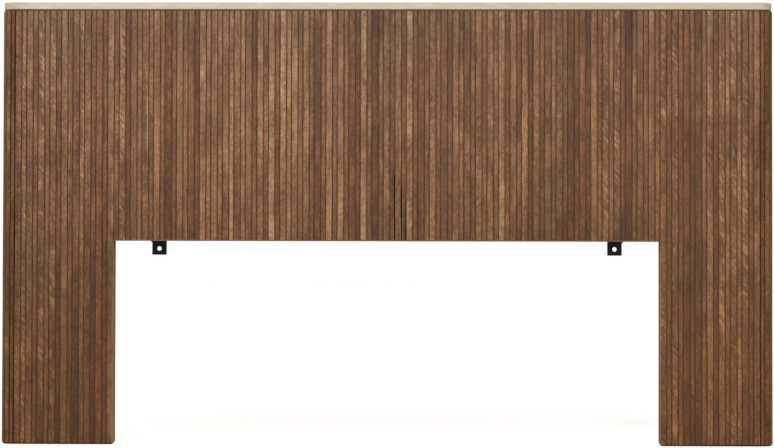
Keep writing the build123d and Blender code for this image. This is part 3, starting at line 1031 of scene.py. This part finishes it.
def head_grid(outline, slot_half, slot_reach, slot_depth):
    """A turned head as a (ring, turn, 3) grid of points, along +Z from its seat at 0.

    outline holds (radius, height) from the axis outwards. A point at (x, y) is lowered by
    slot_depth times a smooth step of how far inside an arm of the cross it lies, where an
    arm reaches slot_reach from the axis and slot_half to each side of its middle line.
    """
    radius, height = np.asarray(outline, float).T
    turn = np.linspace(0, 2 * math.pi, HEAD_TURNS, endpoint=False)
    x = radius[:, None] * np.cos(turn)
    y = radius[:, None] * np.sin(turn)
    inner = np.minimum(np.abs(x), np.abs(y))
    outer = np.maximum(np.abs(x), np.abs(y))
    inside = np.minimum((slot_half - inner) / slot_half, (slot_reach - outer) / slot_reach)
    press = np.clip(inside * RECESS_SLOPE + 0.5, 0, 1)
    depth_share = (1 - outer / slot_reach * RECESS_LOSS).clip(RECESS_LEAST, 1)
    press = press * press * (3 - 2 * press) * depth_share
    z = height[:, None] - press * slot_depth * (height[:, None] > 0)
    return np.stack([x, y, z], axis=-1)


def screws(name, places, grid, finish, *nodes):
    """Copies of a head grid at places on the back, each turned about its axis by chance."""
    rings, turns = grid.shape[:2]
    spins = draw.uniform(0, math.pi / 2, len(places))
    cos, sin = np.cos(spins)[:, None, None], np.sin(spins)[:, None, None]
    x = grid[None, ..., 0] * cos - grid[None, ..., 1] * sin
    y = grid[None, ..., 0] * sin + grid[None, ..., 1] * cos
    rise = np.broadcast_to(grid[None, ..., 2], x.shape)
    centre = np.asarray(places)[:, None, None, :]
    corners = np.stack([x + centre[..., 0], rise + centre[..., 1], y + centre[..., 2]], axis=-1)
    piece = make_piece(name, corners, tube_faces(len(places), turns, rings), [finish])
    soften(piece, 35)
    settle(piece, "black_steel", *nodes)
    print(name, "holds", len(places), "screws")


print("a screw head is turned in", HEAD_TURNS, "steps")

# %% Black plated screws
PLATE_BLACK = paint(62, 61, 60)
PLATE_DULL = paint(38, 37, 36)


def black_plate():
    """Plated metal, bright and smooth where a cloudy noise is low, and dull where it is high."""
    f = Finish("black_plate")
    x, y, z = f.place()
    cloud = f.noise(x, y, z, detail=4.0, scale=260.0)
    colour = f.mix(cloud.within(0.4, 0.7), PLATE_BLACK, PLATE_DULL)
    return f.surface(colour, 0.32 + cloud * 0.25, height=cloud, deep=0.05 * MM, strength=0.4,
                     Metallic=0.9)


screw_finish = black_plate()

# %% Bracket screws, with low domed heads and their shanks
HEAD_RADIUS, SHANK_RADIUS, TIP_RADIUS = 5.5 * MM, 2.9 * MM, 0.8 * MM
INNER_SCREW_IN = 14 * MM  # from the bracket's inner edge
HEAD_CROSS = (0.75 * MM, 3.2 * MM, 1.3 * MM)  # half an arm's width, its reach and its depth
shank_tip_y, head_top_y = span("bracket_screws", 1)
plate_back_y = span("right_bracket", 1)[1]
dome_height, tip_height = head_top_y - plate_back_y, shank_tip_y - plate_back_y
screw_xs = (span("bracket_screws", 0)[1] - HEAD_RADIUS, span("right_bracket", 0)[0] + INNER_SCREW_IN)
low_z, high_z = span("bracket_screws", 2)
screw_zs = (low_z + HEAD_RADIUS, high_z - HEAD_RADIUS)
outline = [(r * HEAD_RADIUS, dome_height * (1 - 0.75 * r ** 3)) for r in np.linspace(0.02, 1, 14)]
outline += [(HEAD_RADIUS, 0.0), (SHANK_RADIUS, 0.0), (SHANK_RADIUS, tip_height + MM),
            (TIP_RADIUS, tip_height)]
places = [(s * x, plate_back_y, z) for s in (1, -1) for x in screw_xs for z in screw_zs]
screws("bracket_screw_heads", places, head_grid(outline, *HEAD_CROSS), coat_finish,
       "bracket_screws")

# %% [markdown]
# The back is three veneered panels, held by small countersunk screws. Each panel keeps
# the frame's outline, and the middle one its notches round the brackets. An outline drawn
# on the face and carried back makes them, as a board is carried up.

# %% Veneer for the back
back_finish = board_timber("back_veneer", 2, paint(134, 102, 75), paint(98, 70, 50), streak=0.4,
                           sheen=0.25, rough=0.6)
RECESS = 0.25 * MM
BACK_EASE = 0.6 * MM
panel_front_y, panel_back_y = span("centre_back_panel", 1)
notch_top = span("right_bracket", 2)[1] + MM
notch_x = (span("right_bracket", 0)[0] - MM, span("right_bracket", 0)[1] + MM)


def panel_outline(x0, x1, z0, z1, notches=()):
    """The outline of a back panel as seen from the front, with notches in its lower edge."""
    points = [(x0, z0)]
    for low, high in notches:
        points += [(low, z0), (low, notch_top), (high, notch_top), (high, z0)]
    return np.array(points + [(x1, z0), (x1, z1), (x0, z1)])


left_notch = (-notch_x[1], -notch_x[0])
for node, notches in (("left_leg_back_panel", ()), ("right_leg_back_panel", ()),
                      ("centre_back_panel", (left_notch, notch_x))):
    outline = panel_outline(*span(node, 0), *span(node, 2), notches)
    piece = carry_board(f"{node}_veneer", outline, panel_front_y, panel_back_y - RECESS,
                        BACK_EASE, back_finish, upright=False)
    settle(piece, "back_board", node)

# %% Back panel screws
EDGE = 18 * MM  # from a panel's edge to its screws
LOW_EDGE = 2.4 * EDGE
SMALL_HEAD, SMALL_SHANK, SMALL_TIP, SMALL_LENGTH = 3.6 * MM, 1.6 * MM, 0.8 * MM, 14 * MM
SEAT = 0.1 * MM
SMALL_CROSS = (0.5 * MM, 1.9 * MM, 0.9 * MM)
panel_low, panel_top = span("centre_back_panel", 2)
panel_low, panel_top = panel_low + LOW_EDGE, panel_top - EDGE
leg_low = span("right_leg_back_panel", 2)[0] + EDGE
leg_x = [v + s * EDGE for v, s in zip(span("right_leg_back_panel", 0), (1, -1))]
across_top = np.linspace(-leg_inner_x + EDGE, leg_inner_x - EDGE, 5)
spots = [(x, z) for x in across_top for z in (panel_top, panel_low)]
spots += [(s * x, z) for s in (1, -1) for x in leg_x for z in np.linspace(leg_low, panel_top, 4)]
outline = [(r * SMALL_HEAD, (RECESS - SEAT) * (1 - 0.2 * r * r)) for r in np.linspace(0.03, 1, 10)]
outline += [(SMALL_HEAD, -SEAT), (SMALL_SHANK, -2.6 * MM), (SMALL_TIP, -SMALL_LENGTH)]
places = [(x, panel_back_y - RECESS + SEAT / 2, z) for x, z in spots]
screws("back_panel_screws", places, head_grid(outline, *SMALL_CROSS), screw_finish)

# %% [markdown]
# The frame inside is planed softwood, and beech tenons hold the cap on it. It is closed
# in, but it still gets its own timber, for anyone who takes the headboard apart. The
# corner posts and the panel's bottom rail are painted dark, as painted shade where the
# gaps between the staves and beside the brackets show them.

# %% Timber inside
PINE, PINE_DEEP = paint(214, 180, 132), paint(172, 130, 84)
softwood = board_timber("softwood", 2, PINE, PINE_DEEP, rough=0.65)
softwood_rails = board_timber("softwood_rails", 0, PINE, PINE_DEEP, rough=0.65)
# Painted shade: dark timber for the corner posts and the bottom rail.
corner_post_shade = board_timber("corner_post_shade", 2, paint(84, 58, 41), paint(52, 35, 25), rough=0.85,
                            sheen=0.1)
rail_shade = board_timber("rail_shade", 0, paint(96, 70, 50), paint(62, 44, 31), rough=0.75,
                          sheen=0.15)
beech = board_timber("beech", 0, paint(206, 164, 118), paint(168, 122, 80), streak=0.3)
BY_NAME = {"cap_tenons": beech, "bottom_rail": rail_shade}
BY_WORD = (("rail", softwood_rails), ("corner_post", corner_post_shade), ("post", softwood),
           ("stud", softwood))
finished = 0
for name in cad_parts:
    fitting = [BY_NAME[name]] if name in BY_NAME else [f for word, f in BY_WORD if word in name]
    if fitting:
        refinish(name, fitting[0])
        finished += 1
print(finished, "nodes of the frame inside have their timber")

# %% [markdown]
# The floor is a plain pale sheet. The camera should see it as white, as in a studio
# cut-out, without more light falling on the headboard. So the floor reflects light as
# any pale floor does, and adds a glow that only rays from the camera, or by way of a
# mirror or a glass, can see. The glow is weaker near the headboard, so its soft shadow
# shows there, and further off it is strong enough for white. The world round it is white
# for the same rays, and lights the room softly for all others.

# %% Floor
FLOOR_PALE = paint(226, 222, 216)
FLOOR_WORN = paint(231, 228, 223)
FLOOR_HALF = 40.0
NEAR_GLOW, FAR_GLOW = (0.5, 0.5, 0.5, 1.0), (0.74, 0.74, 0.74, 1.0)
NEAR_EDGE, FAR_EDGE = 3.0, 4.6
BLACK = (0.0, 0.0, 0.0, 1.0)


def pale_floor():
    """A faintly worn pale sheet, with a glow that grows with the distance from the middle."""
    f = Finish("pale_floor")
    x, y, z = f.place()
    wear = f.noise(x, y, z, scale=6.0)
    glow = f.mix(((x * x + y * y) ** 0.5).within(NEAR_EDGE, FAR_EDGE), NEAR_GLOW, FAR_GLOW)
    seen_glow = f.mix(f.seen_directly(), BLACK, glow)
    return f.surface(f.mix(wear, FLOOR_PALE, FLOOR_WORN), 0.9, sheen=0.1,
                     Emission_Color=seen_glow, Emission_Strength=1.0)


corners = np.array([(-1, -1, 0), (1, -1, 0), (1, 1, 0), (-1, 1, 0)]) * FLOOR_HALF
floor = make_piece("floor", corners, [(0, 1, 2, 3)], [pale_floor()])
print(f"floor {2 * FLOOR_HALF:.0f} m across")

# %% The room's light
ROOM_WHITE = paint(250, 250, 255)
ROOM_LIGHT = 0.4


def light_room(strength):
    """A white backdrop where it is seen, and a soft even light of a strength where it isn't."""
    world = bpy.data.worlds.new("studio")
    bpy.context.scene.world = world
    r = Recipe(world)
    room = r.node("ShaderNodeBackground", inputs={0: ROOM_WHITE, 1: strength})
    backdrop = r.node("ShaderNodeBackground", inputs={0: WHITE, 1: 1.0})
    blend = r.node("ShaderNodeMixShader", inputs={0: r.seen_directly(), 1: room, 2: backdrop})
    r.node("ShaderNodeOutputWorld", inputs={0: blend})


light_room(ROOM_LIGHT)
print("room light", ROOM_LIGHT)

# %% [markdown]
# The light is soft and comes from above and in front: the top of the panel is brightest,
# and the legs fall off a little towards the floor. One large lamp does it.
# A weaker one behind shows the back to anyone who walks round.

# %% The lamps
WARM_WHITE, PLAIN_WHITE = (1.0, 0.985, 0.97), (1.0, 1.0, 1.0)


def soft_lamp(name, place, target, size, power, tint):
    """A rectangular lamp at place, turned to face target. Size is in metres, power in watts.

    A lamp shines down its own -Z. So it tilts by the angle of its aim from straight down,
    and then turns about Z to the side of the target.
    """
    light = bpy.data.lights.new(name, "AREA")
    light.shape = "RECTANGLE"
    light.size, light.size_y = size
    light.energy, light.color = power, tint
    lamp = bpy.data.objects.new(name, light)
    bpy.context.scene.collection.objects.link(lamp)
    aim = np.array(target) - np.array(place)
    lamp.location = place
    lamp.rotation_euler = (math.atan2(math.hypot(aim[0], aim[1]), -aim[2]), 0,
                           math.atan2(-aim[0], aim[1]))
    print(f"lamp {name}: {power} W, {np.linalg.norm(aim):.1f} m from what it lights")


soft_lamp("overhead", (-0.8, -2.6, 3.0), (0, 0, 0.9), (5.4, 1.8), 101, WARM_WHITE)
soft_lamp("behind", (0.8, 3.2, 2.8), (0, 0, 0.6), (3.0, 1.5), 45, PLAIN_WHITE)

# %% [markdown]
# The camera stands about five and a half metres in front, a little right of the middle
# and just below the panel's underside. It is turned and tipped up by about a degree, as
# a hand-set one is, so the uprights lean together a little towards the top.

# %% The camera
SENSOR_MM, LENS_MM = 36, 94.38
CAMERA_PLACE = (0.0784, -5.4734, 0.4924)
CAMERA_TURNS = (0.8085, 1.0598, 0.1249)  # yaw, pitch and roll, in degrees
FARTHEST = 100


def turned(axis, angle):
    """A turn by an angle about an axis, as a 3 x 3 matrix of its cosine and sine."""
    a, b = [k for k in range(3) if k != axis]
    matrix = np.eye(3)
    matrix[a, a] = matrix[b, b] = math.cos(angle)
    matrix[a, b], matrix[b, a] = -math.sin(angle), math.sin(angle)
    return matrix


lens = bpy.data.cameras.new("camera")
lens.sensor_width, lens.lens, lens.clip_end = SENSOR_MM, LENS_MM, FARTHEST
camera = bpy.data.objects.new("camera", lens)
camera.location = CAMERA_PLACE
yaw, pitch, roll = np.radians(CAMERA_TURNS)
facing = turned(2, yaw) @ turned(0, pitch + math.pi / 2) @ turned(2, roll)
camera.rotation_euler = Matrix(facing.tolist()).to_euler()
bpy.context.scene.collection.objects.link(camera)
bpy.context.scene.camera = camera
bpy.context.scene.view_settings.view_transform = "Standard"
print("camera", [round(float(v), 2) for v in camera.location], "with a lens of", LENS_MM, "mm")
